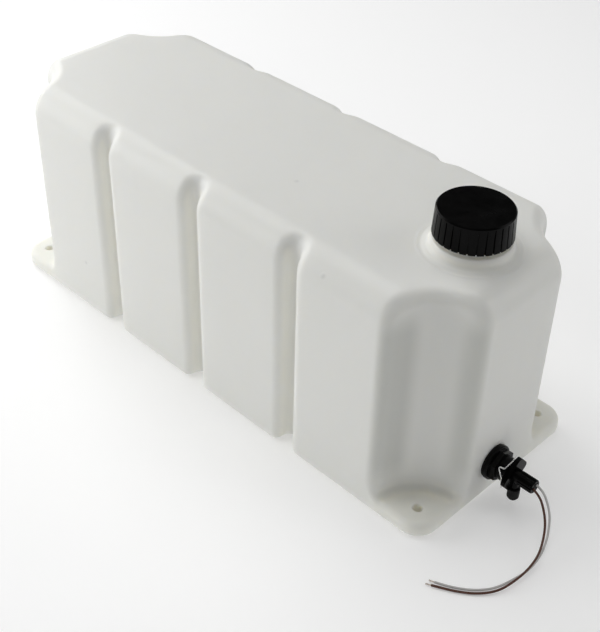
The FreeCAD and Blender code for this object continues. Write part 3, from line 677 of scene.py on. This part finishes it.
def pale_plastic(name, low, high):
    """White nylon or film with a satin finish."""
    made, shader = new_material(name, Subsurface_Weight=0.3, Subsurface_Radius=(1, 0.9, 0.8),
                                Subsurface_Scale=0.002)
    colour = mixed(shader, noise(shader, 200), low, high)
    connect(shader, Base_Color=colour, Roughness=between(shader, noise(shader, 400), 0.35, 0.55))
    bumps(shader, (noise(shader, 1200), 0.00002))
    return made


def switch_glass():
    """Pale green glass of the reed switch."""
    made, shader = new_material("switch_glass", Transmission_Weight=0.8, IOR=1.5)
    colour = mixed(shader, noise(shader, 300), (0.70, 0.85, 0.75, 1), (0.78, 0.90, 0.82, 1))
    connect(shader, Base_Color=colour, Roughness=between(shader, noise(shader, 300), 0.04, 0.10))
    bumps(shader, (noise(shader, 400), 0.00002))
    return made


tank_piece = moulded_tank()
plastic_pieces = [
    eased("filler_cap", "cap", 0.00035, steps=3),
    eased("bulkhead_body", "tank", 0.0003),
    eased("bulkhead_nut", "tank", 0.0003),
    eased("sensor_plug", "tank", 0.00035),
    eased("sensor_stem", "tank", 0.0003),
    eased("cable_barrel", "tank", 0.0002),
]
rubber_pieces = [
    eased("flange_gasket", "tank", 0.0003),
    eased("wire_seal", "tank", 0.0002),
    eased("spigot_cap", "spigot_stopper", 0.0004),
]
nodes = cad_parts

steel = drawn_metal("spring_steel", (0.72, 0.72, 0.71, 1), (0.86, 0.86, 0.85, 1), 0.16, 0.3)
ground_steel = drawn_metal("pin_steel", (0.5, 0.5, 0.5, 1), (0.65, 0.65, 0.64, 1), 0.2, 0.35)
copper = drawn_metal("tinned_copper", (0.62, 0.52, 0.44, 1), (0.80, 0.76, 0.72, 1), 0.2, 0.4)
ferrite = drawn_metal("ferrite", (0.05, 0.05, 0.05, 1), (0.09, 0.09, 0.09, 1), 0.4, 0.6)
brown = insulation("brown_insulation", (0.055, 0.016, 0.008, 1), (0.10, 0.030, 0.013, 1))
grey = insulation("grey_insulation", (0.50, 0.49, 0.48, 1), (0.62, 0.61, 0.60, 1))
float_foam = soft_foam("float_foam", (0.015, 0.015, 0.015, 1), (0.03, 0.03, 0.03, 1))
liner_foam = soft_foam("liner_foam", (0.70, 0.70, 0.67, 1), (0.80, 0.80, 0.77, 1))
nylon = pale_plastic("white_nylon", (0.80, 0.79, 0.74, 1), (0.86, 0.85, 0.81, 1))
membrane = pale_plastic("white_membrane", (0.86, 0.86, 0.86, 1), (0.92, 0.92, 0.92, 1))

dress([tank_piece], polyethylene())
dress(plastic_pieces, black_plastic())
dress([*rubber_pieces, nodes["plug_o_rings"]], rubber())
dress([brown_lead], brown)
dress([grey_lead], grey)
dress([brown_tip, grey_tip, nodes["reed_leads"]], copper)
dress([nodes["retaining_clip"]], steel)
dress([nodes["float_pin"]], ground_steel)
dress([nodes["float_magnet"]], ferrite)
dress([nodes["sensor_float"]], float_foam)
dress([nodes["cap_liner"]], liner_foam)
dress([nodes["inner_washer"]], nylon)
dress([nodes["vent_membrane"]], membrane)
dress([nodes["reed_switch"]], switch_glass())

# ---- floor and light ----

FLOOR_REACH = 6.0
FLOOR_LEVEL = -0.0005
FLOOR_GLOW = 0.25
WALL_GLOW = 0.30
CEILING_GLOW = 0.04


def pale_floor():
    """A wide pale floor, lit a little from itself as a light table is."""
    mesh = bpy.data.meshes.new("floor")
    ends = (-FLOOR_REACH, FLOOR_REACH)
    corners = [(x, y, FLOOR_LEVEL) for x in ends for y in ends]
    mesh.from_pydata(corners, [], [(0, 2, 3, 1)])
    floor = add_object("floor", mesh)
    made, shader = new_material("pale_floor", Roughness=0.8, Emission_Strength=FLOOR_GLOW)
    shader.inputs["Emission Color"].default_value = (1, 1, 1, 1)
    shader.inputs["Base Color"].default_value = (0.8, 0.8, 0.8, 1)
    dress([floor], made)


def softbox(name, place, aim, side, power):
    """A large square light facing a point."""
    data = bpy.data.lights.new(name, "AREA")
    data.size = side
    data.energy = power
    made = add_object(name, data)
    made.location = place
    made.rotation_euler = (Vector(aim) - Vector(place)).to_track_quat("-Z", "Y").to_euler()


def surroundings():
    """A plain grey studio: pale low down, like its walls, and dim overhead."""
    world = bpy.data.worlds.new("studio")
    bpy.context.scene.world = world
    world.use_nodes = True
    background = world.node_tree.nodes["Background"]
    background.inputs["Color"].default_value = (1, 1, 1, 1)
    direction = add_node(background, "ShaderNodeTexCoord").outputs["Generated"]
    height = add_node(background, "ShaderNodeSeparateXYZ", Vector=direction).outputs["Z"]
    glow = add_node(background, "ShaderNodeMapRange", Value=height, From_Min=0.05, From_Max=0.4,
                    To_Min=WALL_GLOW, To_Max=CEILING_GLOW)
    connect(background, Strength=glow.outputs["Result"])


def studio():
    """Soft studio light: overhead, and softboxes round the tank, strongest at its far left."""
    middle = (0, 0, TOP / 2)
    softbox("overhead", (-0.4, 0.2, 2.2), middle, 2.0, 24)
    softbox("left", (-1.15, -0.90, 0.65), middle, 1.0, 10.5)
    softbox("far_left", (-2.2, 0.4, 1.2), middle, 1.4, 20)
    softbox("long_side", (0, -2.2, 0.9), middle, 1.4, 1.1)
    softbox("right", (1.6, 1.3, 0.9), middle, 1.4, 8.8)
    softbox("front", (1.6, -1.6, 1.4), middle, 1.2, 6.3)
    bpy.context.scene.view_settings.view_transform = "Standard"


pale_floor()
surroundings()
studio()
